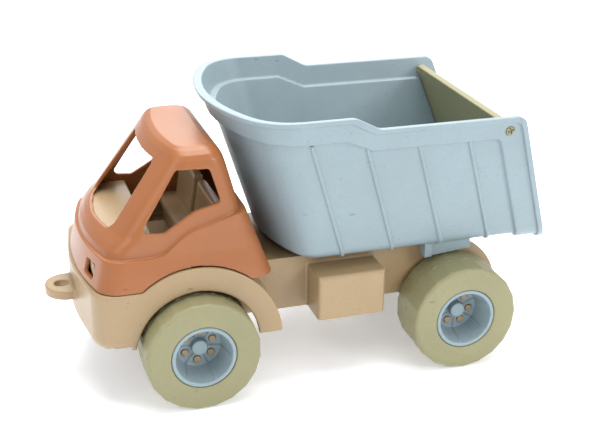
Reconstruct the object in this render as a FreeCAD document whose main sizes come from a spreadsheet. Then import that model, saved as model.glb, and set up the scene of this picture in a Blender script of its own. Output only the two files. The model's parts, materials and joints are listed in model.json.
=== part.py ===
import FreeCAD, Part
import math
import os
import re

import Sketcher

# Push along tipper truck.  Row frame: +X forward, +Y the truck's left, +Z up, millimetres.
# The origin lies on the ground below the middle of the bounding box.

Vector = FreeCAD.Vector

SIZES = {
    # running gear
    "tyre_radius": 30.0,
    "tyre_width": 28.0,
    "tyre_shoulder": 2.0,
    "wheel_outer": 63.0,
    "wheelbase": 145.3,
    "front_axle_x": 63.5,
    "tyre_bore_radius": 17.1,
    "rim_radius": 16.9,
    "rim_lip_width": 2.2,
    "rim_inner_end": 37.0,
    "rim_wall": 2.0,
    "dish_depth": 14.5,
    "dish_floor_radius": 11.6,
    "dish_floor_thickness": 2.2,
    "cap_radius": 4.3,
    "cap_depth": 11.0,
    "hub_radius": 5.2,
    "hub_inner_end": 33.8,
    "stud_count": 6.0,
    "stud_root": 0.5,
    "rim_recess": 0.4,
    "axle_end_gap": 0.2,
    "stud_circle_radius": 7.9,
    "stud_radius": 1.9,
    "stud_gap": 0.2,
    "stud_rise": 0.9,
    "hub_disc_thickness": 2.0,
    "axle_radius": 2.0,
    "axle_half_length": 50.0,
    "press_gap": 0.02,
    "running_gap": 0.06,
    # chassis
    "deck_top": 66.0,
    "rail_bottom": 36.0,
    "rail_half_width": 33.0,
    "moulding_wall": 3.0,
    "bearing_width": 6.0,
    "bearing_bottom": 21.0,
    "bearing_radius": 7.0,
    "bearing_foot": 11.0,
    "bearing_rear_foot": 26.0,
    "bearing_spread": 26.0,
    "bearing_lift": 3.0,
    "rail_round": 9.0,
    "rail_front_gap": 8.0,
    "hinge_boss_radius": 6.0,
    "rear_end_reach": 31.2,
    "rear_end_radius": 33.0,
    "deck_rear_x": -84.5,
    "bumper_top": 65.0,
    "bumper_bottom": 33.5,
    "bumper_front_x": 121.4,
    "bumper_corner_x": 114.9,
    "bumper_round": 6.5,
    "bumper_lip_round": 0.8,
    "bumper_half_width": 52.0,
    "bumper_corner_radius": 13.0,
    "bumper_bow_radius": 150.0,
    "bumper_start": 20.0,
    "arch_radius": 32.3,
    "fender_outer_radius": 44.8,
    "fender_roof": 2.5,
    "fender_side": 2.8,
    "fender_front_end": 28.5,
    "flap_bottom": 33.5,
    "side_box_front_x": -0.5,
    "side_box_rear_x": -38.0,
    "side_box_half_width": 52.5,
    "side_box_top": 61.0,
    "side_box_round": 2.0,
    "latch_front_x": 111.8,
    "latch_thickness": 3.2,
    "latch_near_y": 25.4,
    "latch_far_y": 34.9,
    "latch_top": 76.2,
    "latch_slot_play": 0.9,
    "latch_slot_bottom": 68.8,
    "latch_slot_top": 76.5,
    "latch_hook_reach": 1.3,
    "tow_eye_tip_x": 134.5,
    "tow_eye_half_width": 12.0,
    "tow_eye_top": 52.0,
    "tow_eye_thickness": 5.0,
    "tow_eye_hole_radius": 3.9,
    "tow_eye_hole_x": 125.9,
    # tub and its hinge
    "tub_pivot_x": -92.5,
    "tub_pivot_height": 48.0,
    "hinge_pin_radius": 2.0,
    "tub_bottom": 68.0,
    "tub_block_height": 90.0,
    "tub_wall": 2.4,
    "tub_front_x": 17.2,
    "tub_nose_slope": 0.322,
    "tub_half_width": 45.6,
    "tub_side_slope": 0.196,
    "tub_lean": 0.335,
    "tub_rear_x": -133.5,
    "tub_rim_top": 150.7,
    "tub_rear_rim_top": 143.5,
    "tub_foot_round": 5.0,
    "tub_block_rear_x": -160.0,
    "tub_bow_radius": 82.0,
    "tub_bow_growth": 27.0,
    "tub_corner_radius": 16.0,
    "tub_corner_growth": 10.0,
    "tub_band_bottom": 131.3,
    "tub_band_front_bottom": 138.0,
    "tub_band_rise": 1.9,
    "tub_band_nose": 1.6,
    "tub_column_x": -117.2,
    "tub_lip_rise": 2.9,
    "tub_lip_nose": 3.2,
    "tub_lip_height": 2.6,
    "tub_lip_depth": 2.3,
    "tub_bead_rise": 3.4,
    "tub_bead_width": 3.2,
    "tub_rib_rise": 1.1,
    "tub_rib_half_width": 0.9,
    "lug_half_width": 6.2,
    "lug_thickness": 6.0,
    "lug_centre_y": 22.0,
    "cheek_front_x": -64.6,
    "cheek_rear_x": -92.0,
    "cheek_bottom": 59.6,
    "cheek_rear_lift": 2.4,
    "cheek_strip_width": 4.4,
    "cheek_inner_y": 33.7,
    "cheek_strip_y": 42.1,
    "cheek_plate_y": 40.9,
    # tailgate
    "gate_pivot_x": -100.9,
    "gate_pivot_height": 135.7,
    "gate_thickness": 3.4,
    "gate_top_reach": 4.0,
    "gate_bottom_reach": 67.0,
    "gate_top_half_width": 58.1,
    "gate_bottom_half_width": 45.0,
    "gate_pin_radius": 2.4,
    "gate_pin_end": 61.4,
    "gate_pin_root": 3.0,
    # cab
    "cab_wall": 2.3,
    "cab_seam_gap": 0.3,
}

CORNERS = {
    # side, axle position, degrees rolled at rest
    "front_left": (1, "front_axle_x", 36.7),
    "front_right": (-1, "front_axle_x", 23.3),
    "rear_left": (1, "front_axle_x - wheelbase", 6.3),
    "rear_right": (-1, "front_axle_x - wheelbase", 53.7),
}


# ---------------------------------------------------------------- document and sizes

doc = FreeCAD.newDocument("push_along_truck")
sheet = doc.addObject("Spreadsheet::Sheet", "Sheet")
for row, (alias, size) in enumerate(SIZES.items(), start=1):
    sheet.set("A%d" % row, alias.replace("_", " "))
    sheet.set("B%d" % row, "%g" % size)
    sheet.setAlias("B%d" % row, alias)
doc.recompute()


def cell(text):
    """The expression that points the words of a size formula at the sheet's cells."""
    words = re.compile(r"[a-z][a-z_]*")
    return words.sub(lambda word: ("Sheet." if word.group() in SIZES else "") + word.group(), str(text))


def value(text):
    """What a size formula comes to, in millimetres or degrees."""
    return float(sheet.evalExpression(cell(text)))


# ---------------------------------------------------------------- outlines

def rounded(points, radii):
    """Edges of a closed polygon whose corner i is rounded to radii.get(i, 0)."""
    ends = []
    count = len(points)
    for i, corner in enumerate(points):
        before = Vector(*points[i - 1], 0) - Vector(*corner, 0)
        after = Vector(*points[(i + 1) % count], 0) - Vector(*corner, 0)
        opening = before.getAngle(after)
        radius = radii.get(i, 0.0)
        reach = radius / math.tan(opening / 2)
        start = Vector(*corner, 0) + before.normalize() * reach
        end = Vector(*corner, 0) + after.normalize() * reach
        arc = None
        if radius:
            inward = (before + after).normalize()
            middle = Vector(*corner, 0) + inward * (radius / math.sin(opening / 2) - radius)
            turns_left = before.cross(after).z < 0
            arc = Part.Arc(start, middle, end) if turns_left else Part.Arc(end, middle, start)
        ends.append((start, arc, end))
    edges = []
    for i, (start, arc, end) in enumerate(ends):
        if arc:
            edges.append(arc)
        edges.append(Part.LineSegment(end, ends[(i + 1) % count][0]))
    return edges


def plan_wire(edges, height):
    """A horizontal wire at a height."""
    wire = Part.Wire([edge.toShape() for edge in edges])
    wire.translate(Vector(0, 0, height))
    return wire


def side_prism(points, radii=None, half_width=80.0, centre=0.0):
    """A solid whose outline is drawn in X and Z and which runs along Y."""
    wire = Part.Wire([edge.toShape() for edge in rounded(points, radii or {})])
    wire.rotate(Vector(0, 0, 0), Vector(1, 0, 0), 90)
    face = Part.Face(wire)
    face.translate(Vector(0, centre + half_width, 0))
    return face.extrude(Vector(0, -2 * half_width, 0))


def nose_edges(front, rear, half_width, bow_radius, corner_radius, rear_radius):
    """Plan outline with a bowed front, rounded front corners and rounded rear corners."""
    corner_y = half_width - corner_radius
    reach = math.sqrt((bow_radius - corner_radius) ** 2 - corner_y ** 2)
    centre_x = front - bow_radius
    corner_x = centre_x + reach
    tangent = Vector(reach, corner_y, 0).normalize()
    bow_end = Vector(centre_x, 0, 0) + tangent * bow_radius
    middle = (tangent + Vector(0, 1, 0)).normalize()
    corner_mid = Vector(corner_x, corner_y, 0) + middle * corner_radius
    side_start = Vector(corner_x, half_width, 0)
    side_end = Vector(rear + rear_radius, half_width, 0)
    rear_mid = side_end + Vector(-math.sin(math.pi / 4), math.cos(math.pi / 4) - 1, 0) * rear_radius
    rear_end = Vector(rear, half_width - rear_radius, 0)

    def mirror(point):
        return Vector(point.x, -point.y, 0)

    return [
        Part.Arc(mirror(bow_end), Vector(front, 0, 0), bow_end),
        Part.Arc(bow_end, corner_mid, side_start),
        Part.LineSegment(side_start, side_end),
        Part.Arc(side_end, rear_mid, rear_end),
        Part.LineSegment(rear_end, mirror(rear_end)),
        Part.Arc(mirror(rear_end), mirror(rear_mid), mirror(side_end)),
        Part.LineSegment(mirror(side_end), mirror(side_start)),
        Part.Arc(mirror(side_start), mirror(corner_mid), mirror(bow_end)),
    ]


# ---------------------------------------------------------------- bodies and sketches

def new_body(label, x="0", y="0", z="0"):
    """A body whose origin stands at a place given by size formulas."""
    body = doc.addObject("PartDesign::Body", label)
    body.Label = label
    for axis, formula in (("x", x), ("y", y), ("z", z)):
        body.setExpression("Placement.Base." + axis, cell(formula))
    return body


def new_sketch(body, role, offset="0"):
    """A sketch on one of the body's own origin planes, moved along its normal."""
    sketch = body.newObject("Sketcher::SketchObject", "sketch")
    plane = [item for item in body.Origin.OriginFeatures if item.Role == role][0]
    sketch.AttachmentSupport = (plane, [""])
    sketch.MapMode = "FlatFace"
    sketch.setExpression("AttachmentOffset.Base.z", cell(offset))
    return sketch


def bind(sketch, kind, formula, *where):
    """A constraint whose size follows the sheet."""
    index = sketch.addConstraint(Sketcher.Constraint(kind, *where, value(formula)))
    sketch.setExpression("Constraints[%d]" % index, cell(formula))


def draw_polygon(sketch, points):
    """A closed polygon; every point's two coordinates follow the sheet."""
    places = [Vector(value(x), value(y), 0) for x, y in points]
    count = len(points)
    first = sketch.GeometryCount
    for i, place in enumerate(places):
        sketch.addGeometry(Part.LineSegment(place, places[(i + 1) % count]), False)
    for i in range(count):
        after = first + (i + 1) % count
        sketch.addConstraint(Sketcher.Constraint("Coincident", first + i, 2, after, 1))
    for i, (x, y) in enumerate(points):
        bind(sketch, "DistanceX", x, -1, 1, first + i, 1)
        bind(sketch, "DistanceY", y, -1, 1, first + i, 1)


def draw_rectangle(sketch, low_x, high_x, low_y, high_y):
    """A rectangle between four size formulas."""
    draw_polygon(sketch, [(low_x, low_y), (high_x, low_y), (high_x, high_y), (low_x, high_y)])


def draw_circle(sketch, x, y, radius):
    """A circle whose centre and radius follow the sheet."""
    centre = Vector(value(x), value(y), 0)
    index = sketch.addGeometry(Part.Circle(centre, Vector(0, 0, 1), value(radius)), False)
    bind(sketch, "Radius", radius, index)
    bind(sketch, "DistanceX", x, -1, 1, index, 3)
    bind(sketch, "DistanceY", y, -1, 1, index, 3)


def draw_rounded(sketch, points, radii):
    """A closed polygon with rounded corners, its corner points kept as construction points."""
    numbers = [(value(x), value(y)) for x, y in points]
    sizes = {i: value(radius) for i, radius in radii.items()}
    lines = []
    arcs = {}
    for i, edge in enumerate(rounded(numbers, sizes)):
        index = sketch.addGeometry(edge, False)
        if isinstance(edge, Part.LineSegment):
            lines.append(index)
        else:
            arcs[len(lines)] = index
    for i, (x, y) in enumerate(points):
        before = lines[i - 1]
        after = lines[i]
        if i not in arcs:
            sketch.addConstraint(Sketcher.Constraint("Coincident", before, 2, after, 1))
            bind(sketch, "DistanceX", x, -1, 1, after, 1)
            bind(sketch, "DistanceY", y, -1, 1, after, 1)
            continue
        arc = arcs[i]
        lead = sketch.Geometry[before].EndPoint
        turns_left = sketch.Geometry[arc].StartPoint.distanceToPoint(lead) < 1e-6
        first_end, last_end = (1, 2) if turns_left else (2, 1)
        sketch.addConstraint(Sketcher.Constraint("Tangent", before, 2, arc, first_end))
        sketch.addConstraint(Sketcher.Constraint("Tangent", after, 1, arc, last_end))
        bind(sketch, "Radius", radii[i], arc)
        corner = sketch.addGeometry(Part.Point(Vector(*numbers[i], 0)), True)
        sketch.addConstraint(Sketcher.Constraint("PointOnObject", corner, 1, before))
        sketch.addConstraint(Sketcher.Constraint("PointOnObject", corner, 1, after))
        bind(sketch, "DistanceX", x, -1, 1, corner, 1)
        bind(sketch, "DistanceY", y, -1, 1, corner, 1)


def feature(body, kind, sketch, length, side="One side", reverse=False):
    """A pad or a pocket of a bound length; the volume must change the right way."""
    before = body.Shape.Volume if body.Tip else 0.0
    item = body.newObject("PartDesign::" + kind, kind.lower())
    item.Profile = sketch
    item.SideType = side
    item.Reversed = reverse
    item.setExpression("Length", cell(length))
    doc.recompute()
    grown = item.Shape.Volume - before
    if (grown <= 0) == (kind == "Pad"):
        raise RuntimeError("%s of %s changes nothing" % (kind, body.Label))
    return item


def round_edges(body, base, radius, chosen):
    """Rounds the edges of a body's last feature whose bounding boxes are chosen."""
    names = ["Edge%d" % i for i, edge in enumerate(base.Shape.Edges, start=1) if chosen(edge.BoundBox)]
    fillet = body.newObject("PartDesign::Fillet", "rounding")
    fillet.Base = (base, names)
    fillet.setExpression("Radius", cell(radius))
    doc.recompute()
    return fillet


def both_sides(body, kind, length, draw, near):
    """The same pad or pocket on the left and right, starting at |y| = near and going outward."""
    for sign in (1, -1):
        sketch = new_sketch(body, "XZ_Plane", "%d * (%s)" % (-sign, near))
        draw(sketch)
        feature(body, kind, sketch, length, reverse=(sign > 0) == (kind == "Pad"))


def revolve(body, points):
    """A body of revolution about Y from a profile of radius and position along the axle."""
    sketch = new_sketch(body, "XY_Plane")
    draw_polygon(sketch, points)
    turned = body.newObject("PartDesign::Revolution", "turned")
    turned.Profile = sketch
    turned.ReferenceAxis = (sketch, ["V_Axis"])
    turned.Angle = 360
    doc.recompute()
    return turned


def polar(body, item, count):
    """Repeats a feature around the body's Y axis."""
    pattern = body.newObject("PartDesign::PolarPattern", "ring")
    pattern.Originals = [item]
    pattern.Axis = ([part for part in body.Origin.OriginFeatures if part.Role == "Y_Axis"][0], [""])
    pattern.Angle = 360
    pattern.Occurrences = count
    body.Tip = pattern
    doc.recompute()
    return pattern


# ---------------------------------------------------------------- wheels and axles

def wheel_body(prefix, corner):
    """A body on a wheel's axle line whose own Y axis points outward, turned as it came to rest."""
    side, axle_x, rolled = CORNERS[corner]
    body = new_body(prefix + "_" + corner)
    turn = FreeCAD.Rotation(Vector(0, 0, 1), 0 if side > 0 else 180)
    turn = turn.multiply(FreeCAD.Rotation(Vector(0, 1, 0), -rolled))
    body.Placement = FreeCAD.Placement(Vector(0, 0, 0), turn)
    body.setExpression("Placement.Base.x", cell(axle_x))
    body.setExpression("Placement.Base.z", cell("tyre_radius"))
    return body


def make_tyre(corner):
    """Broad tyre ring with a small shoulder on both edges."""
    body = wheel_body("tyre", corner)
    revolve(body, [
        ("tyre_bore_radius", "wheel_outer - tyre_width"),
        ("tyre_radius - tyre_shoulder", "wheel_outer - tyre_width"),
        ("tyre_radius", "wheel_outer - tyre_width + tyre_shoulder"),
        ("tyre_radius", "wheel_outer - tyre_shoulder"),
        ("tyre_radius - tyre_shoulder", "wheel_outer"),
        ("tyre_bore_radius", "wheel_outer"),
    ])
    return body


def make_rim(corner):
    """Dished rim with a lip, a centre cap, a hub for the axle and holes for the studs."""
    body = wheel_body("rim", corner)
    lip = "wheel_outer - rim_recess"
    floor = "wheel_outer - dish_depth"
    floor_back = floor + " - dish_floor_thickness"
    bore = "axle_radius + press_gap"
    revolve(body, [
        ("rim_radius", "rim_inner_end"),
        ("rim_radius", lip),
        ("rim_radius - rim_lip_width", lip),
        ("dish_floor_radius", floor),
        ("cap_radius", floor),
        ("cap_radius", "wheel_outer - cap_depth"),
        ("0", "wheel_outer - cap_depth"),
        ("0", "axle_half_length + axle_end_gap"),
        (bore, "axle_half_length + axle_end_gap"),
        (bore, "hub_inner_end"),
        ("hub_radius", "hub_inner_end"),
        ("hub_radius", floor_back),
        ("rim_radius - rim_wall", floor_back),
        ("rim_radius - rim_wall", "rim_inner_end"),
    ])
    sketch = new_sketch(body, "XZ_Plane", "-(" + floor + ")")
    draw_circle(sketch, "stud_circle_radius", "0", "stud_radius + stud_gap")
    hole = feature(body, "Pocket", sketch, "dish_floor_thickness", reverse=True)
    polar(body, hole, int(value("stud_count")))
    return body


def make_hub_disc(corner):
    """Ring behind the dish whose studs show through the rim's holes."""
    body = wheel_body("hub_disc", corner)
    front = "wheel_outer - dish_depth - dish_floor_thickness - stud_gap"
    revolve(body, [
        ("hub_radius + stud_gap", front + " - hub_disc_thickness"),
        ("rim_radius - rim_wall - stud_gap", front + " - hub_disc_thickness"),
        ("rim_radius - rim_wall - stud_gap", front),
        ("hub_radius + stud_gap", front),
    ])
    sketch = new_sketch(body, "XZ_Plane", "-(" + front + " - stud_root)")
    draw_circle(sketch, "stud_circle_radius", "0", "stud_radius")
    length = "stud_root + stud_gap + dish_floor_thickness + stud_rise"
    stud = feature(body, "Pad", sketch, length, reverse=True)
    polar(body, stud, int(value("stud_count")))
    return body


def make_rod(label, x, z, radius, half_length):
    """A round steel rod along Y, centred on the truck's middle plane."""
    rod = doc.addObject("Part::Cylinder", label)
    rod.Label = label
    rod.Placement = FreeCAD.Placement(Vector(0, 0, 0), FreeCAD.Rotation(Vector(1, 0, 0), 90))
    rod.setExpression("Radius", cell(radius))
    rod.setExpression("Height", cell("2 * " + half_length))
    rod.setExpression("Placement.Base.x", cell(x))
    rod.setExpression("Placement.Base.y", cell(half_length))
    rod.setExpression("Placement.Base.z", cell(z))
    return rod


# ---------------------------------------------------------------- chassis

def open_wheel_space(body):
    """Cuts the front wheels' arches and everything beside the rails below the fender flaps."""
    front = "front_axle_x"
    both_sides(body, "Pocket", "bumper_half_width",
               lambda drawing: draw_circle(drawing, front, "tyre_radius", "arch_radius"),
               "rail_half_width")
    both_sides(body, "Pocket", "bumper_half_width",
               lambda drawing: draw_rectangle(drawing, front + " - 60", front + " + 60",
                                              "-60", "flap_bottom"),
               "rail_half_width")


def make_chassis():
    """Moulded frame, open below: rails, bumper, fenders, side boxes and tow eye in one piece."""
    body = new_body("chassis")
    front = "front_axle_x"
    rear = "front_axle_x - wheelbase"

    sketch = new_sketch(body, "XZ_Plane")
    draw_rounded(sketch, [
        (rear + " - rear_end_reach", "deck_top"),
        (rear + " - rear_end_reach", "bearing_bottom + bearing_lift"),
        (rear + " - bearing_rear_foot", "bearing_bottom"),
        (rear + " + bearing_foot", "bearing_bottom"),
        (rear + " + bearing_spread", "rail_bottom"),
        (front + " - bearing_spread", "rail_bottom"),
        (front + " - bearing_foot", "bearing_bottom"),
        (front + " + bearing_foot", "bearing_bottom"),
        (front + " + bearing_spread", "rail_bottom"),
        ("bumper_front_x - rail_front_gap", "rail_bottom"),
        ("bumper_front_x - rail_front_gap", "bumper_top"),
        (front + " - 20", "bumper_top"),
        (front + " - 21", "deck_top"),
    ], {0: "rear_end_radius", 3: "rail_round", 4: "rail_round", 5: "rail_round", 6: "rail_round",
        7: "rail_round"})
    feature(body, "Pad", sketch, "2 * rail_half_width", "Symmetric")

    both_sides(body, "Pad", "side_box_half_width - rail_half_width + moulding_wall",
               lambda drawing: draw_rectangle(drawing, "side_box_rear_x", "side_box_front_x",
                                              "rail_bottom", "side_box_top"),
               "rail_half_width - moulding_wall")
    round_edges(body, body.Tip, "side_box_round", lambda box: box.ZMax > value("rail_bottom + 1")
                and max(box.YMin, -box.YMax) > value("side_box_half_width - 0.1"))
    both_sides(body, "Pad", "bumper_half_width - rail_half_width",
               lambda drawing: draw_circle(drawing, front, "tyre_radius", "fender_outer_radius"),
               "rail_half_width")
    both_sides(body, "Pocket", "bumper_half_width - rail_half_width",
               lambda drawing: draw_rectangle(drawing, front + " + fender_front_end", front + " + 60",
                                              "-60", "deck_top + 20"),
               "rail_half_width")

    sketch = new_sketch(body, "XY_Plane", "bumper_bottom")
    draw_rounded(sketch, [
        (front + " + bumper_start", "-bumper_half_width"),
        ("bumper_corner_x", "-bumper_half_width"),
        ("bumper_front_x + 0.4", "0"),
        ("bumper_corner_x", "bumper_half_width"),
        (front + " + bumper_start", "bumper_half_width"),
    ], {1: "bumper_corner_radius", 2: "bumper_bow_radius", 3: "bumper_corner_radius"})
    block = feature(body, "Pad", sketch, "bumper_top - bumper_bottom")
    round_edges(body, block, "bumper_lip_round", lambda box: box.ZMin > value("bumper_top - 0.1")
                and box.ZMax < value("bumper_top + 0.1") and box.XMax > value(front + " + 35"))
    open_wheel_space(body)
    round_edges(body, body.Tip, "bumper_round", lambda box: box.ZMax < value("bumper_bottom + 0.1")
                and box.XMax > value(front + " + 35"))

    fender_depth = "bumper_half_width - rail_half_width - fender_side"
    both_sides(body, "Pocket", fender_depth,
               lambda drawing: draw_rectangle(drawing, front + " - 24", front + " + 31",
                                              "rail_bottom - 60", "deck_top + 20"),
               "rail_half_width")
    both_sides(body, "Pocket", fender_depth,
               lambda drawing: draw_rectangle(drawing, front + " + 30", "bumper_corner_x - 6.5",
                                              "rail_bottom - 20", "bumper_top - moulding_wall"),
               "rail_half_width")
    both_sides(body, "Pad", "bumper_half_width - rail_half_width - 1",
               lambda drawing: draw_circle(drawing, front, "tyre_radius", "arch_radius + fender_roof"),
               "rail_half_width")
    open_wheel_space(body)
    both_sides(body, "Pocket", fender_depth,
               lambda drawing: draw_rectangle(drawing, front + " - 60", front + " - 24",
                                              "flap_bottom - 10", "tyre_radius + 18"),
               "rail_half_width")

    sketch = new_sketch(body, "XY_Plane")
    draw_rectangle(sketch, rear + " - rear_end_reach + moulding_wall", "bumper_front_x - 5",
                   "moulding_wall - rail_half_width", "rail_half_width - moulding_wall")
    feature(body, "Pocket", sketch, "bumper_top - moulding_wall", reverse=True)
    sketch = new_sketch(body, "XY_Plane")
    draw_rectangle(sketch, rear + " - rear_end_reach + moulding_wall", "deck_rear_x",
                   "bearing_width - rail_half_width", "rail_half_width - bearing_width")
    feature(body, "Pocket", sketch, "deck_top + 10", reverse=True)

    for side in (1, -1):
        sketch = new_sketch(body, "XY_Plane", "bumper_top - 1")
        edges = sorted(("%d * latch_near_y" % side, "%d * latch_far_y" % side), key=value)
        draw_rectangle(sketch, "latch_front_x - latch_thickness", "latch_front_x", *edges)
        feature(body, "Pad", sketch, "latch_top - bumper_top + 1")
        sketch = new_sketch(body, "XY_Plane", "latch_slot_bottom + latch_slot_play")
        draw_rectangle(sketch, "latch_front_x - 1", "latch_front_x + latch_hook_reach", *edges)
        feature(body, "Pad", sketch, "latch_top - latch_slot_bottom - latch_slot_play")

    near = "rail_half_width - bearing_width"
    bearing = "bearing_width - moulding_wall + 0.5"
    for x, z, radius in ((front, "tyre_radius", "bearing_radius"),
                         (rear, "tyre_radius", "bearing_radius"),
                         ("tub_pivot_x", "tub_pivot_height", "hinge_boss_radius")):
        both_sides(body, "Pad", bearing,
                   lambda drawing, x=x, z=z, radius=radius: draw_circle(drawing, x, z, radius), near)
    for x, z, radius in ((front, "tyre_radius", "axle_radius + running_gap"),
                         (rear, "tyre_radius", "axle_radius + running_gap"),
                         ("tub_pivot_x", "tub_pivot_height", "hinge_pin_radius + press_gap")):
        sketch = new_sketch(body, "XZ_Plane")
        draw_circle(sketch, x, z, radius)
        feature(body, "Pocket", sketch, "2 * rail_half_width + 2", "Symmetric")

    sketch = new_sketch(body, "XY_Plane", "tow_eye_top - tow_eye_thickness")
    draw_rounded(sketch, [
        ("bumper_front_x - 4", "-tow_eye_half_width"),
        ("tow_eye_tip_x", "-tow_eye_half_width"),
        ("tow_eye_tip_x", "tow_eye_half_width"),
        ("bumper_front_x - 4", "tow_eye_half_width"),
    ], {1: "tow_eye_half_width - 0.2", 2: "tow_eye_half_width - 0.2"})
    feature(body, "Pad", sketch, "tow_eye_thickness")
    sketch = new_sketch(body, "XY_Plane", "tow_eye_top + 1")
    draw_circle(sketch, "tow_eye_hole_x", "0", "tow_eye_hole_radius")
    feature(body, "Pocket", sketch, "tow_eye_thickness + 2")
    return body


# ---------------------------------------------------------------- tub and tailgate

# where each rib stands on the tub's underside and how high it reaches
TUB_RIBS = ((-16.3, 137.0), (-44.5, 134.0), (-72.5, 131.0), (-100.5, 131.0))
FAR = 200.0


def tub_block(rise, nose=0.0):
    """The tub's solid block grown outward by rise, and by nose more at the front; its foot is round."""
    height = value("tub_block_height")
    round_radius = value("tub_foot_round") + rise
    levels = []
    for degrees in (0.0, 22.5, 45.0, 67.5, 90.0):
        angle = math.radians(degrees)
        above = round_radius * (1 - math.cos(angle)) - rise
        levels.append((above, round_radius * (1 - math.sin(angle))))
    levels.append((height, 0.0))
    wires = []
    for above, inset in levels:
        share = above / height
        grown = rise - inset
        front = value("tub_front_x") + value("tub_nose_slope") * above + grown + nose
        half_width = value("tub_half_width") + value("tub_side_slope") * above + grown
        bow = value("tub_bow_radius") + value("tub_bow_growth") * share + grown
        corner = value("tub_corner_radius") + value("tub_corner_growth") * share + grown
        edges = nose_edges(front, value("tub_block_rear_x"), half_width, bow, corner, value("tub_wall"))
        wires.append(plan_wire(edges, value("tub_bottom") + above))
    return Part.makeLoft(wires, True, True)


def leaning(x, height):
    """Where a line that leans with the tub and starts at x on its underside is at a height."""
    return x + value("tub_lean") * (height - value("tub_bottom"))


def tub_outline():
    """Side view of the tub: raised front rim, step, lower rear rim and leaning rear edge."""
    foot = value("tub_bottom") - 8.0
    top = value("tub_rim_top")
    rear_top = value("tub_rear_rim_top")
    rear = value("tub_rear_x")
    return side_prism([
        (leaning(rear, foot), foot), (70.0, foot), (70.0, top), (-14.5, top), (-28.0, rear_top),
        (leaning(rear, rear_top), rear_top),
    ], {3: 7.0, 4: 7.0, 5: 6.0})


def band_region(drop, column_x):
    """Side view of the raised rim band and the wider column behind the last rib."""
    low = value("tub_band_bottom") - drop
    front_low = value("tub_band_front_bottom") - drop
    return side_prism([
        (leaning(column_x, 50.0), 50.0), (leaning(column_x, low), low), (-26.0, low),
        (-11.0, front_low), (90.0, front_low), (90.0, FAR), (-FAR, FAR), (-FAR, 50.0),
    ], {1: 4.0, 2: 4.0, 3: 4.0})


def tub_shell():
    """The tub's walls and floor with the rim band, the lip bead and the ribs."""
    wall = value("tub_wall")
    band = value("tub_band_rise")
    band_nose = value("tub_band_nose")
    column = value("tub_column_x")
    outline = tub_outline()
    inside_lip = outline.translated(Vector(value("tub_lip_depth"), 0, -value("tub_lip_height")))
    lip = tub_block(value("tub_lip_rise"), value("tub_lip_nose")).cut(inside_lip)
    shell = tub_block(0.0).fuse(tub_block(band, band_nose).common(band_region(0.0, column))).fuse(lip)
    foot = value("tub_bottom") - 8.0
    rear_top = value("tub_rear_rim_top")
    bead_rear = value("tub_rear_x - tub_bead_width")
    bead_front = value("tub_rear_x + tub_bead_width")
    bead = side_prism([(leaning(bead_rear, foot), foot), (leaning(bead_front, foot), foot),
                       (leaning(bead_front, rear_top), rear_top), (leaning(bead_rear, rear_top), rear_top)])
    shell = shell.fuse(tub_block(value("tub_bead_rise")).common(bead))
    ribs = tub_block(value("tub_rib_rise"))
    half = value("tub_rib_half_width")
    for rib_x, top in TUB_RIBS:
        strip = side_prism([
            (leaning(rib_x - half, foot), foot), (leaning(rib_x + half, foot), foot),
            (leaning(rib_x + half, top), top), (leaning(rib_x - half, top), top),
        ])
        shell = shell.fuse(ribs.common(strip))
    inner_band = band_region(-0.5, column - 1.6 * wall)
    cavity = tub_block(-wall).fuse(tub_block(band - wall, band_nose).common(inner_band))
    floor_top = value("tub_bottom") + wall
    above_floor = side_prism([(-FAR, floor_top), (FAR, floor_top), (FAR, FAR), (-FAR, FAR)])
    return shell.common(outline).cut(cavity.common(above_floor))


def cheek(side):
    """A guide beside the chassis rail, close over the rear tyre, with a wider strip at its front."""
    top = value("tub_bottom") + 1.0
    bottom = value("cheek_bottom")
    front = value("cheek_front_x")
    inner = value("cheek_inner_y")
    slope = value("cheek_rear_lift / (cheek_front_x - cheek_rear_x)")
    plates = []
    for rear, outer in ((value("cheek_rear_x"), value("cheek_plate_y")),
                        (front - value("cheek_strip_width"), value("cheek_strip_y"))):
        rear_bottom = bottom + slope * (front - rear)
        plates.append(side_prism([(front, top), (front, bottom), (rear, rear_bottom), (rear, top)], {},
                                 (outer - inner) / 2, side * (outer + inner) / 2))
    return plates[0].fuse(plates[1])


def make_tub():
    """Open-ended tipping tub: rim band, lip, ribs, hinge lugs and guide cheeks."""
    shell = tub_shell()
    pivot_x = value("tub_pivot_x")
    pivot_z = value("tub_pivot_height")
    half = value("lug_half_width")
    lug_top = value("tub_bottom") + 1.0
    for side in (1, -1):
        lug = side_prism([
            (pivot_x - half, pivot_z - half), (pivot_x + half, pivot_z - half),
            (pivot_x + half, lug_top), (pivot_x - half, lug_top),
        ], {0: half - 0.1, 1: half - 0.1}, value("lug_thickness") / 2, side * value("lug_centre_y"))
        shell = shell.fuse(lug).fuse(cheek(side))
    for pin, x, z, reach in (("hinge_pin_radius", pivot_x, pivot_z, value("rail_half_width")),
                             ("gate_pin_radius", value("gate_pivot_x"), value("gate_pivot_height"), FAR)):
        shell = shell.cut(Part.makeCylinder(value(pin + " + running_gap"), 2 * reach,
                                            Vector(x, -reach, z), Vector(0, 1, 0)))
    tub = doc.addObject("Part::Feature", "tub")
    tub.Label = "tub"
    tub.Shape = shell.removeSplitter()
    return tub


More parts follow.
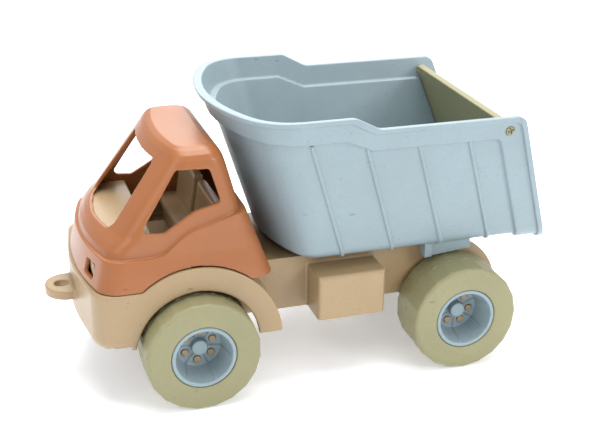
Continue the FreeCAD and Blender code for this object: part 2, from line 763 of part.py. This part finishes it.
def make_tailgate():
    """Flat gate hung from two pins in the tub's side walls, leaning with the tub's rear edge."""
    body = new_body("tailgate")
    lean = math.degrees(math.atan(value("tub_lean")))
    body.Placement = FreeCAD.Placement(Vector(0, 0, 0), FreeCAD.Rotation(Vector(0, 1, 0), lean))
    for axis, formula in (("x", "gate_pivot_x"), ("z", "gate_pivot_height")):
        body.setExpression("Placement.Base." + axis, cell(formula))
    sketch = new_sketch(body, "YZ_Plane")
    draw_rounded(sketch, [
        ("-gate_bottom_half_width", "-gate_bottom_reach"),
        ("gate_bottom_half_width", "-gate_bottom_reach"),
        ("gate_top_half_width", "gate_top_reach"),
        ("-gate_top_half_width", "gate_top_reach"),
    ], {0: "3", 1: "3", 2: "1.5", 3: "1.5"})
    feature(body, "Pad", sketch, "gate_thickness", "Symmetric")
    both_sides(body, "Pad", "gate_pin_end - gate_top_half_width + gate_pin_root",
               lambda drawing: draw_circle(drawing, "0", "0", "gate_pin_radius"),
               "gate_top_half_width - gate_pin_root")
    return body


# ---------------------------------------------------------------- cab

# Rows of both tables: height, front, rear, half width, bow radius, front corner, rear corner
GREENHOUSE = [
    (62.0, 114.5, 26.5, 46.9, 130.0, 12.0, 9.0),
    (81.5, 114.5, 32.3, 46.5, 125.0, 11.0, 9.0),
    (85.0, 113.2, 33.4, 46.3, 120.0, 11.0, 9.0),
    (88.5, 110.6, 34.6, 46.1, 115.0, 11.0, 9.0),
    (92.0, 107.0, 35.8, 45.8, 110.0, 11.0, 9.0),
    (125.0, 82.6, 44.6, 42.4, 105.0, 9.5, 8.0),
    (128.5, 80.0, 45.7, 41.7, 105.0, 9.0, 8.0),
    (131.0, 78.1, 47.0, 40.3, 110.0, 9.0, 8.0),
    (133.0, 75.8, 49.0, 37.9, 120.0, 8.0, 7.0),
    (134.2, 72.6, 52.0, 34.4, 140.0, 6.0, 5.0),
]
SKIRT = [
    (60.0, 120.4, 20.6, 52.2, 170.0, 13.0, 11.0),
    (65.0, 119.2, 22.4, 51.6, 165.0, 12.5, 11.0),
    (73.0, 117.4, 25.3, 50.4, 150.0, 12.5, 11.0),
    (82.0, 115.6, 28.6, 48.7, 140.0, 12.0, 10.0),
    (92.0, 113.4, 32.2, 47.6, 135.0, 12.0, 10.0),
    (106.0, 110.0, 37.2, 46.9, 135.0, 12.0, 10.0),
]
ROOF_FROM = 124.0
# Corners seen from the side (X, Z) and from the front (Y, Z), with the radius of each corner
SIDE_WINDOW = [(90.4, 94.0), (78.8, 93.0), (62.5, 103.0), (49.0, 106.2), (54.1, 124.1), (71.0, 124.7)]
SIDE_WINDOW_RADII = {0: 2.5, 1: 4.0, 2: 14.0, 3: 2.0, 4: 2.5, 5: 2.5}
WINDSCREEN = [(-29.4, 91.6), (0.0, 90.6), (29.4, 91.6), (25.4, 126.0), (-25.4, 126.0)]
WINDSCREEN_RADII = {0: 5.0, 1: 60.0, 2: 5.0, 3: 4.0, 4: 4.0}
REAR_WINDOW = [(-18.0, 88.5), (18.0, 88.5), (18.0, 118.5), (-18.0, 118.5)]
REAR_WINDOW_RADII = {0: 3.0, 1: 3.0, 2: 3.0, 3: 3.0}


def stack(table, inset):
    """Solid through a table of horizontal outlines, every side moved inward by inset."""
    wires = []
    for height, front, rear, half_width, bow, corner, rear_corner in table:
        edges = nose_edges(front - inset, rear + inset, half_width - inset, bow, corner - inset,
                           rear_corner - inset)
        wires.append(plan_wire(edges, height - (inset if height > ROOF_FROM else 0.0)))
    return Part.makeLoft(wires, True, True)


def skirt(inset):
    """Lower cab, standing proud of the greenhouse and swelling over the front wheels."""
    ledge = 81.6 - inset
    under = side_prism([
        (140.0, 40.0), (140.0, ledge), (81.0, ledge), (68.0, 92.5 - inset), (42.0, 100.3 - inset),
        (0.0, 103.5 - inset), (0.0, 40.0),
    ], {2: 14.0, 3: 22.0, 4: 60.0})
    return stack(SKIRT, inset).common(under)


def cab_block(inset):
    """The whole cab as a solid."""
    return stack(GREENHOUSE, inset).fuse(skirt(inset))


def front_prism(points, radii, start_x, length):
    """A solid whose outline is drawn in Y and Z and which runs forward from start_x."""
    face = Part.Face(Part.Wire([edge.toShape() for edge in rounded(points, radii)]))
    face.rotate(Vector(0, 0, 0), Vector(1, 1, 1), 120)
    face.translate(Vector(start_x, 0, 0))
    return face.extrude(Vector(length, 0, 0))


def make_cab():
    """Thin cab shell with windscreen, side windows and rear window, open below."""
    gap = value("cab_seam_gap")
    wall = value("cab_wall")
    axle_x = value("front_axle_x")
    shell = cab_block(0.0).cut(cab_block(wall))
    seam = value("bumper_top") + gap
    shell = shell.cut(Part.makeBox(200.0, 200.0, seam, Vector(-20.0, -100.0, 0)))
    deck = value("deck_top") + gap
    half = value("rail_half_width") + gap
    shell = shell.cut(Part.makeBox(60.0, 2 * half, deck, Vector(-15.0, -half, 0)))
    arch = Part.makeCylinder(value("fender_outer_radius") + gap + 0.2, 200.0,
                             Vector(axle_x, -100.0, value("tyre_radius")), Vector(0, 1, 0))
    shell = shell.cut(arch)
    shell = shell.cut(side_prism(SIDE_WINDOW, SIDE_WINDOW_RADII))
    shell = shell.cut(front_prism(WINDSCREEN, WINDSCREEN_RADII, 70.0, 80.0))
    shell = shell.cut(front_prism(REAR_WINDOW, REAR_WINDOW_RADII, 20.0, 40.0))
    slot_near = value("latch_near_y - latch_slot_play")
    slot_width = value("latch_far_y - latch_near_y + 2 * latch_slot_play")
    for near in (slot_near, -slot_near - slot_width):
        shell = shell.cut(Part.makeBox(30.0, slot_width, value("latch_slot_top - latch_slot_bottom"),
                                       Vector(100.0, near, value("latch_slot_bottom"))))
    cab = doc.addObject("Part::Feature", "cab_shell")
    cab.Label = "cab_shell"
    cab.Shape = shell.removeSplitter()
    return cab


def make_interior():
    """Cab insert: floor, dash shelf with its apron, bench and two seat backs in one moulding."""
    gap = value("cab_seam_gap")
    axle_x = value("front_axle_x")
    floor = value("deck_top") + gap
    seat_back = [(45.5, floor), (51.5, floor), (55.5, 79.0), (52.0, 103.5), (47.0, 103.5)]
    profiles = [
        # outline in X and Z, corner radii, half width, middle
        ([(30.0, floor), (104.0, floor), (104.0, floor + 2.2), (30.0, floor + 2.2)], {}, 31.0, 0.0),
        ([(83.0, floor), (85.4, floor), (85.4, 87.8), (120.0, 87.8), (120.0, 90.0), (83.0, 90.0)],
         {5: 1.2}, 44.5, 0.0),
        ([(51.0, floor), (63.6, floor), (65.0, 80.0), (51.0, 80.0)], {2: 1.5}, 44.5, 0.0),
        (seat_back, {3: 1.5, 4: 1.5}, 17.5, 21.5),
        (seat_back, {3: 1.5, 4: 1.5}, 17.5, -21.5),
        ([(44.5, floor), (47.0, floor), (48.5, 100.0), (46.0, 100.0)], {}, 39.0, 0.0),
    ]
    insert = side_prism(*profiles[0])
    for profile in profiles[1:]:
        insert = insert.fuse(side_prism(*profile))
    steering_notch = Part.makeBox(4.0, 8.0, 12.0, Vector(82.0, -13.0, 80.0))
    insert = insert.cut(steering_notch).common(cab_block(value("cab_wall") + 0.4))
    for side in (1, -1):
        start = Vector(axle_x, side * (value("rail_half_width") - gap), value("tyre_radius"))
        insert = insert.cut(Part.makeCylinder(value("fender_outer_radius") + gap, 60.0, start,
                                              Vector(0, side, 0)))
    interior = doc.addObject("Part::Feature", "cab_interior")
    interior.Label = "cab_interior"
    interior.Shape = insert.removeSplitter()
    return interior


# ---------------------------------------------------------------- write

def write_parts(parts):
    """Checks every object and shape, then writes one STEP file per sub-part."""
    doc.recompute()
    for item in doc.Objects:
        if "Invalid" in item.State or "Error" in item.State:
            raise RuntimeError("%s failed: %s" % (item.Label, item.State))
    for part in parts:
        if part.Shape.isNull() or not part.Shape.isValid():
            raise RuntimeError("%s has no valid shape" % part.Label)
        if len(part.Shape.Solids) != 1:
            raise RuntimeError("%s has %d solids" % (part.Label, len(part.Shape.Solids)))
    os.makedirs("parts", exist_ok=True)
    for part in parts:
        part.Shape.exportStep("parts/%s.step" % part.Label)
        print(part.Label, part.Shape.BoundBox)


parts = [make_chassis(), make_cab(), make_interior(), make_tub(), make_tailgate()]
for corner in CORNERS:
    parts.append(make_tyre(corner))
    parts.append(make_rim(corner))
    parts.append(make_hub_disc(corner))
parts.append(make_rod("front_axle", "front_axle_x", "tyre_radius", "axle_radius", "axle_half_length"))
parts.append(make_rod("rear_axle", "front_axle_x - wheelbase", "tyre_radius", "axle_radius",
                      "axle_half_length"))
parts.append(make_rod("tub_hinge_pin", "tub_pivot_x", "tub_pivot_height", "hinge_pin_radius",
                      "rail_half_width"))
write_parts(parts)
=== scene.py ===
"""Push along tipper truck in speckled moulded plastic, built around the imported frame.

The frame is in metres: +X forward, +Y the truck's left, +Z up.  Shapes are given in millimetres.
"""

import json
import math

import bmesh
import bpy
from mathutils import Matrix, Vector


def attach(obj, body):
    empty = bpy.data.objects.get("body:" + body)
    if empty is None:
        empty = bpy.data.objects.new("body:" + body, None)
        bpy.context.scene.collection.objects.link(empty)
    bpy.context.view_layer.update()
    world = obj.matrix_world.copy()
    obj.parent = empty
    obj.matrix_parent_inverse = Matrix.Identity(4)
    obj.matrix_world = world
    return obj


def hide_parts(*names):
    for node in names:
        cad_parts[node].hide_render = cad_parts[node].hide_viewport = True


MM = 0.001

# wheels; a place on an axle is its distance from the truck's middle plane
FRONT_AXLE_X = 63.5
WHEELBASE = 145.3
AXLE_HEIGHT = 30.0
TYRE_RADIUS = 30.0
TYRE_BORE = 17.1
TYRE_INNER_FACE = 35.0
TYRE_OUTER_FACE = 63.0
TREAD_FACETS = 20
FACET_STEPS = 8
FACETS_START = 26.0
FACETS_FULL = 28.0
ROW_SPLIT = 49.0
ROW_STEP = 0.1
STUDS = 6
STUD_CIRCLE = 7.9
STUD_HOLE_RADIUS = 2.1
STUD_HOLE_MIDDLE = 48.0
STUD_HOLE_DEPTH = 6.0
RIB_RISE = 0.6
RIB_HALF_WIDTH = 0.6
RIM_SEGMENTS = 240
SHARP_ANGLE = 14.0
# degrees from forward toward up: the first stud, the first tread edge
WHEELS = {
    "front_left": (36.7, 7.5),
    "front_right": (23.3, 3.0),
    "rear_left": (6.3, 16.5),
    "rear_right": (53.7, 11.0),
}

# driver slots in the ends of the tailgate's pins
GATE_PIVOT_X = -100.9
GATE_PIVOT_Z = 135.7
GATE_PIN_END = 61.4
DRIVER_SLOT = (3.4, 1.6, 0.9)
DRIVER_SLOT_TURNS = (20, 110)

# the long slope in front of the tub's rear column
COLUMN_X = -117.2
COLUMN_TOP = 130.0
COLUMN_REACH = 2.6
TUB_LEAN = 0.335
TUB_BOTTOM = 68.0
TUB_SIDE_Y = 35.0

# softening of the moulded pieces
SMOOTHING = 0.5
SOFTER_PASSES = 40

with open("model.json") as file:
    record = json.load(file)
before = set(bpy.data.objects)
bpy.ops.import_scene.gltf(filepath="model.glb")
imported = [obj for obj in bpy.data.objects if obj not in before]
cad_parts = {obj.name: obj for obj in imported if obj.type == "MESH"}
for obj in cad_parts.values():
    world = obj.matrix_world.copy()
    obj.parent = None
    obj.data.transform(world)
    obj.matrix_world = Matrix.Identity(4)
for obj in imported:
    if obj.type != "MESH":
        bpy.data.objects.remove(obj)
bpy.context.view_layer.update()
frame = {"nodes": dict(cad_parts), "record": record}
NODES = frame["nodes"]
BODY_OF = {node: body for body, nodes in frame["record"]["behaviour"]["bodies"].items() for node in nodes}
SLOT_OF = {row["node"]: row["material_slot"] for row in frame["record"]["subparts"]}


# ---------------------------------------------------------------- materials

# flecks per metre, turn, stretch, size in cells, share of cells that hold one
FIBRES = (
    (300.0, (0.5, 0.3, 0.2), (1.0, 1.0, 1.0), 0.17, 0.5),
    (190.0, (0.4, 1.0, 0.3), (1.0, 1.0, 0.34), 0.13, 0.35),
    (170.0, (1.2, 0.2, 2.0), (0.3, 1.0, 1.0), 0.13, 0.3),
)
# colour, fleck colour, how far a fleck covers, roughness, how far the tone wanders
PLASTICS = {
    "sand_plastic": ((0.350, 0.244, 0.130), (0.10, 0.055, 0.025), 0.5, 0.36, 0.05),
    "terracotta_plastic": ((0.315, 0.108, 0.032), (0.10, 0.03, 0.012), 0.5, 0.32, 0.04),
    "blue_plastic": ((0.246, 0.315, 0.342), (0.09, 0.115, 0.12), 0.45, 0.38, 0.05),
    "green_plastic": ((0.262, 0.244, 0.128), (0.12, 0.095, 0.045), 0.5, 0.48, 0.07),
}


def new_material(name):
    """A material with nodes: the material, its node tree and its shader."""
    material = bpy.data.materials.new(name)
    material.use_nodes = True
    tree = material.node_tree
    return material, tree, tree.nodes["Principled BSDF"]


def feed(tree, socket, source):
    """Gives a socket a number or links another node's output to it."""
    if isinstance(source, bpy.types.NodeSocket):
        tree.links.new(source, socket)
    else:
        socket.default_value = source


def add(tree, kind, sockets=None, **settings):
    """A shader node whose sockets take either numbers or other nodes' outputs."""
    node = tree.nodes.new("ShaderNode" + kind)
    for name, setting in settings.items():
        setattr(node, name, setting)
    for socket, source in (sockets or {}).items():
        feed(tree, node.inputs[socket], source)
    return node


def remap(tree, source, low, high, to_low, to_high):
    """source moved from one range to another, clamped."""
    return add(tree, "MapRange", {0: source, 1: low, 2: high, 3: to_low, 4: to_high}).outputs[0]


def blended(tree, share, first, second):
    """Two colours mixed by a share."""
    return add(tree, "Mix", {0: share, 6: first, 7: second}, data_type="RGBA").outputs[2]


def shaded(colour, factor):
    """A colour made lighter or darker, with full alpha."""
    return [min(1.0, channel * factor) for channel in colour] + [1.0]


def fibre_layer(tree, place, density, turn, stretch, radius, presence):
    """A mask of small flecks: about one per cell, in a share of the cells, stretched one way."""
    turned = add(tree, "Mapping", {"Vector": place, "Rotation": turn, "Scale": stretch})
    cells = add(tree, "TexVoronoi", {"Vector": turned.outputs[0], "Scale": density, "Randomness": 1.0})
    chance = add(tree, "SeparateColor", {0: cells.outputs["Color"]})
    size = remap(tree, chance.outputs[0], 1.0 - presence, 1.0, 0.0, radius)
    depth = add(tree, "Math", {0: size, 1: cells.outputs["Distance"]}, operation="SUBTRACT")
    return remap(tree, depth.outputs[0], 0.0, radius * 0.35, 0.0, 1.0)


def fibre_plastic(name, colour, fleck, fleck_share, roughness, mottling):
    """Satin moulded plastic filled with fine plant fibre: flecks, cloudy tone and a faint grain."""
    material, tree, shader = new_material(name)
    place = add(tree, "TexCoord").outputs["Object"]
    wobble = add(tree, "TexNoise", {"Vector": place, "Scale": 900.0, "Detail": 1.0})
    bent = add(tree, "VectorMath", {0: wobble.outputs["Color"], 1: (0.0011,) * 3}, operation="MULTIPLY")
    bent = add(tree, "VectorMath", {0: place, 1: bent.outputs[0]}, operation="ADD").outputs[0]

    cloud = add(tree, "TexNoise", {"Vector": place, "Scale": 30.0, "Detail": 4.0, "Roughness": 0.6})
    grain = add(tree, "TexNoise", {"Vector": place, "Scale": 520.0, "Detail": 2.0})
    tone = blended(tree, remap(tree, cloud.outputs[0], 0.3, 0.7, 0.0, 1.0),
                   shaded(colour, 1 - mottling), shaded(colour, 1 + mottling))
    tone = blended(tree, remap(tree, grain.outputs[0], 0.5, 0.75, 0.0, 0.7),
                   tone, shaded(colour, 1 - 1.2 * mottling))

    layers = [fibre_layer(tree, bent, *fibre) for fibre in FIBRES]
    mask = layers[0]
    for layer in layers[1:]:
        mask = add(tree, "Math", {0: mask, 1: layer}, operation="MAXIMUM").outputs[0]
    strength = add(tree, "Math", {0: mask, 1: fleck_share}, operation="MULTIPLY").outputs[0]
    feed(tree, shader.inputs["Base Color"], blended(tree, strength, tone, shaded(fleck, 1.0)))

    uneven = remap(tree, cloud.outputs[0], 0.3, 0.7, roughness - 0.04, roughness + 0.05)
    feed(tree, shader.inputs["Roughness"], uneven)
    feed(tree, shader.inputs["Specular IOR Level"], 0.5)
    skin = add(tree, "TexNoise", {"Vector": place, "Scale": 1400.0, "Detail": 2.0})
    raised = add(tree, "Math", {0: skin.outputs[0], 1: strength}, operation="ADD")
    bump = add(tree, "Bump", {"Strength": 0.12, "Distance": 0.00008, "Height": raised.outputs[0]})
    feed(tree, shader.inputs["Normal"], bump.outputs[0])
    return material


def drawn_steel(name):
    """Plain steel rod with drawing marks along its length."""
    material, tree, shader = new_material(name)
    place = add(tree, "TexCoord").outputs["Object"]
    along = add(tree, "Mapping", {"Vector": place, "Scale": (1.0, 0.02, 1.0)})
    marks = add(tree, "TexNoise", {"Vector": along.outputs[0], "Scale": 4000.0, "Detail": 2.0})
    tone = blended(tree, marks.outputs[0], (0.46, 0.46, 0.47, 1), (0.62, 0.62, 0.63, 1))
    feed(tree, shader.inputs["Base Color"], tone)
    feed(tree, shader.inputs["Roughness"], remap(tree, marks.outputs[0], 0.2, 0.8, 0.25, 0.45))
    feed(tree, shader.inputs["Metallic"], 1.0)
    return material


MATERIALS = {name: fibre_plastic(name, *look) for name, look in PLASTICS.items()}
MATERIALS["steel_rod"] = drawn_steel("steel_rod")


# ---------------------------------------------------------------- pieces

def dressed(piece, node):
    """The piece in its CAD node's material."""
    piece.data.materials.clear()
    piece.data.materials.append(MATERIALS[SLOT_OF[node]])
    return piece


def finish_piece(piece, node):
    """Gives a piece its CAD node's body, slot and material, and hides the node."""
    dressed(piece, node)
    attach(piece, BODY_OF[node])
    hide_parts(node)
    return piece


def new_piece(name, mesh):
    """An object for a mesh, in the scene."""
    piece = bpy.data.objects.new(name, mesh)
    bpy.context.scene.collection.objects.link(piece)
    return piece


def mesh_of(built, name):
    """A mesh from a finished bmesh, which goes."""
    mesh = bpy.data.meshes.new(name)
    built.to_mesh(mesh)
    built.free()
    return mesh


def applied(piece):
    """The piece with its modifiers made real."""
    graph = bpy.context.evaluated_depsgraph_get()
    mesh = bpy.data.meshes.new_from_object(piece.evaluated_get(graph))
    piece.modifiers.clear()
    piece.data = mesh
    return piece


def smoothing(piece, name, passes):
    """A modifier that rounds a piece's edges over a number of passes."""
    soften = piece.modifiers.new(name, "SMOOTH")
    soften.factor = SMOOTHING
    soften.iterations = passes
    return soften


def soft_moulding(node, voxel, passes, triangles, softer=None):
    """A node's own shape with a moulding's small rounded edges, rounder where softer says so."""
    piece = new_piece(node + "_moulding", NODES[node].data.copy())
    size = voxel * 1.0
    even = piece.modifiers.new("even", "REMESH")
    even.mode = "VOXEL"
    even.voxel_size = size * MM
    even.use_smooth_shade = True
    smoothing(piece, "soften", passes)
    applied(piece)
    if softer:
        zone = piece.vertex_groups.new(name="softer")
        zone.add([vertex.index for vertex in piece.data.vertices if softer(vertex.co / MM)], 1.0, "ADD")
        smoothing(piece, "softer", SOFTER_PASSES).vertex_group = "softer"
        applied(piece)
        piece.vertex_groups.clear()
    thin = piece.modifiers.new("thin", "DECIMATE")
    thin.ratio = min(1.0, triangles / (2 * len(piece.data.polygons)))
    flat = piece.modifiers.new("flat", "WEIGHTED_NORMAL")
    flat.keep_sharp = False
    applied(piece)
    return finish_piece(piece, node)


def cut_away(piece, cutter):
    """The piece without the space of a cutter, which goes."""
    cut = piece.modifiers.new("cut", "BOOLEAN")
    cut.object = cutter
    cut.solver = "EXACT"
    applied(piece)
    bpy.data.objects.remove(cutter)
    return piece


def lathe(name, profile, segments, phase, shape, closed):
    """A mesh turned about Y from (radius, place) points; shape moves each point by its angle."""
    built = bmesh.new()
    rings = []
    for index, (radius, place) in enumerate(profile):
        ring = []
        for step in range(segments if radius else 1):
            angle = phase + 2 * math.pi * step / segments
            near, along = shape(index, radius, place, angle)
            ring.append(built.verts.new((near * math.cos(angle) * MM, along * MM,
                                         near * math.sin(angle) * MM)))
        rings.append(ring)
    for first, second in zip(rings, rings[1:] + (rings[:1] if closed else [])):
        for step in range(segments):
            after = (step + 1) % segments
            near_side = first[:1] if len(first) == 1 else [first[step], first[after]]
            far_side = second[:1] if len(second) == 1 else [second[after], second[step]]
            built.faces.new(near_side + far_side)
    bmesh.ops.recalc_face_normals(built, faces=built.faces)
    mesh = mesh_of(built, name)
    mesh.polygons.foreach_set("use_smooth", [True] * len(mesh.polygons))
    mesh.set_sharp_from_angle(angle=math.radians(SHARP_ANGLE))
    return mesh


def bend(radius, place, size, start, end, steps=6):
    """Profile points round a corner whose arc centre is at (radius, place)."""
    points = []
    for step in range(steps + 1):
        angle = math.radians(start + (end - start) * step / steps)
        points.append((radius + size * math.cos(angle), place + size * math.sin(angle)))
    return points


def seated(piece, corner):
    """The piece moved from its own axle line to its wheel's place, outer face outward."""
    if corner.endswith("right"):
        piece.data.transform(Matrix.Rotation(math.pi, 4, "Z"))
    axle_x = FRONT_AXLE_X if corner.startswith("front") else FRONT_AXLE_X - WHEELBASE
    piece.data.transform(Matrix.Translation((axle_x * MM, 0, AXLE_HEIGHT * MM)))
    return piece


def tyre(corner, phase):
    """Broad tyre whose tread is two staggered rows of flat facets with a rounded shoulder."""
    pitch = 2 * math.pi / TREAD_FACETS
    bead, inner_shoulder, outer_shoulder, outer_bead = 0.6, 2.0, 2.1, 0.9
    profile = bend(TYRE_BORE + bead, TYRE_INNER_FACE + bead, bead, 180, 270)
    profile += bend(TYRE_RADIUS - inner_shoulder, TYRE_INNER_FACE + inner_shoulder, inner_shoulder, 270, 360)
    profile += [(TYRE_RADIUS, ROW_SPLIT - ROW_STEP), (TYRE_RADIUS, ROW_SPLIT + ROW_STEP)]
    profile += bend(TYRE_RADIUS - outer_shoulder, TYRE_OUTER_FACE - outer_shoulder, outer_shoulder, 0, 90, 8)
    profile += bend(TYRE_BORE + outer_bead, TYRE_OUTER_FACE - outer_bead, outer_bead, 90, 180)

    def facet(index, radius, place, angle):
        start = phase if place > ROW_SPLIT else phase + pitch / 2
        within = (angle - start) % pitch - pitch / 2
        flat = math.cos(pitch / 2) / math.cos(within)
        share = min(1.0, max(0.0, (radius - FACETS_START) / (FACETS_FULL - FACETS_START)))
        return radius * (1 + (flat - 1) * share), place

    mesh = lathe("tyre_" + corner, profile, TREAD_FACETS * FACET_STEPS, phase, facet, True)
    finish_piece(seated(new_piece("tyre_" + corner + "_ring", mesh), corner), "tyre_" + corner)


def stud_holes(phase):
    """A cutter with one short cylinder for each stud."""
    holes = bmesh.new()
    for turn in range(STUDS):
        angle = phase + turn * math.radians(360 / STUDS)
        place = Matrix.Translation((STUD_CIRCLE * math.cos(angle) * MM, STUD_HOLE_MIDDLE * MM,
                                    STUD_CIRCLE * math.sin(angle) * MM))
        bmesh.ops.create_cone(holes, cap_ends=True, segments=32, radius1=STUD_HOLE_RADIUS * MM,
                              radius2=STUD_HOLE_RADIUS * MM, depth=STUD_HOLE_DEPTH * MM,
                              matrix=place @ Matrix.Rotation(math.pi / 2, 4, "X"))
    return new_piece("stud_holes", mesh_of(holes, "stud_holes"))


def rim(corner, phase):
    """Dished rim with a rounded lip, a centre cap, six fine ribs and holes for the studs."""
    bore, bore_end = 2.02, 50.2
    hub, hub_end = 5.2, 33.8
    barrel, barrel_end = 14.9, 37.0
    dish_back, dish_floor, wall_foot = 46.3, 48.5, 11.7
    edge, lip_place, cap_place = 0.8, 61.9, 51.2
    back = [(0.0, bore_end), (bore, bore_end), (bore, hub_end), (hub, hub_end), (hub, dish_back),
            (barrel, dish_back), (barrel, barrel_end), (16.9, barrel_end)]
    lip = bend(16.1, lip_place, edge, 0, 90) + bend(15.5, lip_place, edge, 90, 180)
    dish = [(14.4, 60.5), (13.2, 55.0), (12.2, 50.2)] + bend(11.1, dish_floor + edge, edge, 0, -90, 4)
    dish += [(radius, dish_floor) for radius in (9.9, 7.9, 5.6, 4.6)]
    cap = [(4.35, 48.8), (4.25, cap_place)] + bend(3.45, cap_place, edge, 0, 90, 5) + [(0.0, 52.0)]
    first = len(back + lip)
    last = len(back + lip + dish) - 1

    def ribbed(index, radius, place, angle):
        if not first <= index < last:
            return radius, place
        away = (angle - phase) % math.radians(360 / STUDS) - math.radians(180 / STUDS)
        rise = RIB_RISE * max(0.0, 1.0 - abs(away) * radius / RIB_HALF_WIDTH)
        return (radius - rise, place) if radius > wall_foot else (radius, place + rise)

    mesh = lathe("rim_" + corner, back + lip + dish + cap, RIM_SEGMENTS, phase, ribbed, False)
    piece = cut_away(new_piece("rim_" + corner + "_dish", mesh), stud_holes(phase))
    finish_piece(seated(piece, corner), "rim_" + corner)


def slot_pin_ends(gate):
    """A crossed driver slot in the end of each of the gate's pins."""
    for turn in DRIVER_SLOT_TURNS:
        slots = bmesh.new()
        for side in (1, -1):
            place = Matrix.Translation((GATE_PIVOT_X * MM, side * GATE_PIN_END * MM, GATE_PIVOT_Z * MM))
            size = Matrix.Diagonal([reach * MM for reach in DRIVER_SLOT] + [1.0])
            bmesh.ops.create_cube(slots, size=1.0,
                                  matrix=place @ Matrix.Rotation(math.radians(turn), 4, "Y") @ size)
        cut_away(gate, new_piece("driver_slots", mesh_of(slots, "driver_slots")))


def beside_column(place):
    """Whether a place in millimetres is on the long slope in front of the tub's rear column."""
    line = place.x - COLUMN_X - TUB_LEAN * (place.z - TUB_BOTTOM)
    return abs(line) < COLUMN_REACH and place.z < COLUMN_TOP and abs(place.y) > TUB_SIDE_Y


soft_moulding("cab_shell", voxel=0.42, passes=2, triangles=110000)
soft_moulding("chassis", voxel=0.55, passes=2, triangles=110000)
soft_moulding("cab_interior", voxel=0.6, passes=3, triangles=20000)
soft_moulding("tub", voxel=0.4, passes=1, triangles=150000, softer=beside_column)
slot_pin_ends(soft_moulding("tailgate", voxel=0.4, passes=2, triangles=20000))
for corner, (studs, treads) in WHEELS.items():
    tyre(corner, math.radians(treads))
    rim(corner, math.radians(studs))
    soft_moulding("hub_disc_" + corner, voxel=0.25, passes=4, triangles=8000)

# the axles and the tub's hinge pin keep their CAD shapes
for node, thing in NODES.items():
    if not thing.hide_render:
        dressed(thing, node)


# ---------------------------------------------------------------- studio

FLOOR_REACH = 4
LIT_POINT = (0, 0, 0.06)
# place in metres, width in metres, power in watts
LAMPS = {
    "overhead": ((-0.1, -0.1, 1.1), 1.1, 17.0),
    "left_rear": ((-0.8, 1.0, 0.7), 0.5, 6.5),
    "left_front": ((1.1, 0.6, 0.9), 0.8, 3.0),
    "behind": ((-0.3, -1.1, 0.8), 1.0, 5.0),
}
EYE = (0.17908, 0.57940, 0.32945)
AHEAD = (-0.30913, -0.87425, -0.37434)
ROLL = 1.164


def surround():
    """A faintly blue white surround."""
    world = bpy.data.worlds.new("studio")
    bpy.context.scene.world = world
    world.use_nodes = True
    sky = world.node_tree.nodes["Background"]
    sky.inputs[0].default_value = (0.965, 0.98, 1.0, 1.0)
    sky.inputs[1].default_value = 0.72


def pale_floor():
    """A pale matt floor that glows a little, so that it stays white in the shade."""
    mesh = bpy.data.meshes.new("floor")
    corners = [(x * FLOOR_REACH, y * FLOOR_REACH, 0) for x, y in ((-1, -1), (1, -1), (1, 1), (-1, 1))]
    mesh.from_pydata(corners, [], [(0, 1, 2, 3)])
    floor = new_piece("floor", mesh)
    material, tree, shader = new_material("pale_floor")
    feed(tree, shader.inputs["Base Color"], (0.90, 0.92, 0.95, 1.0))
    feed(tree, shader.inputs["Roughness"], 0.9)
    feed(tree, shader.inputs["Emission Color"], (1.0, 1.0, 1.0, 1.0))
    feed(tree, shader.inputs["Emission Strength"], 0.3)
    mesh.materials.append(material)


def lamps():
    """Soft round lights, all aimed at the truck."""
    for name, (place, size, power) in LAMPS.items():
        lamp = bpy.data.lights.new(name, "AREA")
        lamp.shape = "DISK"
        lamp.size = size
        lamp.energy = power
        light = bpy.data.objects.new(name, lamp)
        light.location = place
        light.rotation_euler = (Vector(LIT_POINT) - Vector(place)).to_track_quat("-Z", "Y").to_euler()
        bpy.context.scene.collection.objects.link(light)


def camera():
    """The photograph's viewing angle."""
    lens = bpy.data.cameras.new("camera")
    lens.lens = 70.99
    lens.sensor_width = 36.0
    lens.shift_x = -0.0549
    lens.shift_y = -0.0266
    lens.clip_start = 0.05
    viewer = bpy.data.objects.new("camera", lens)
    ahead = Vector(AHEAD).normalized()
    right = ahead.cross(Vector((0, 0, 1))).normalized()
    above = right.cross(ahead)
    roll = math.radians(ROLL)
    tilted_right = right * math.cos(roll) + above * math.sin(roll)
    tilted_above = above * math.cos(roll) - right * math.sin(roll)
    turn = Matrix((tilted_right, tilted_above, -ahead)).transposed()
    viewer.matrix_world = Matrix.Translation(EYE) @ turn.to_4x4()
    bpy.context.scene.collection.objects.link(viewer)
    bpy.context.scene.camera = viewer


surround()
pale_floor()
lamps()
camera()
bpy.context.scene.view_settings.view_transform = "Standard"
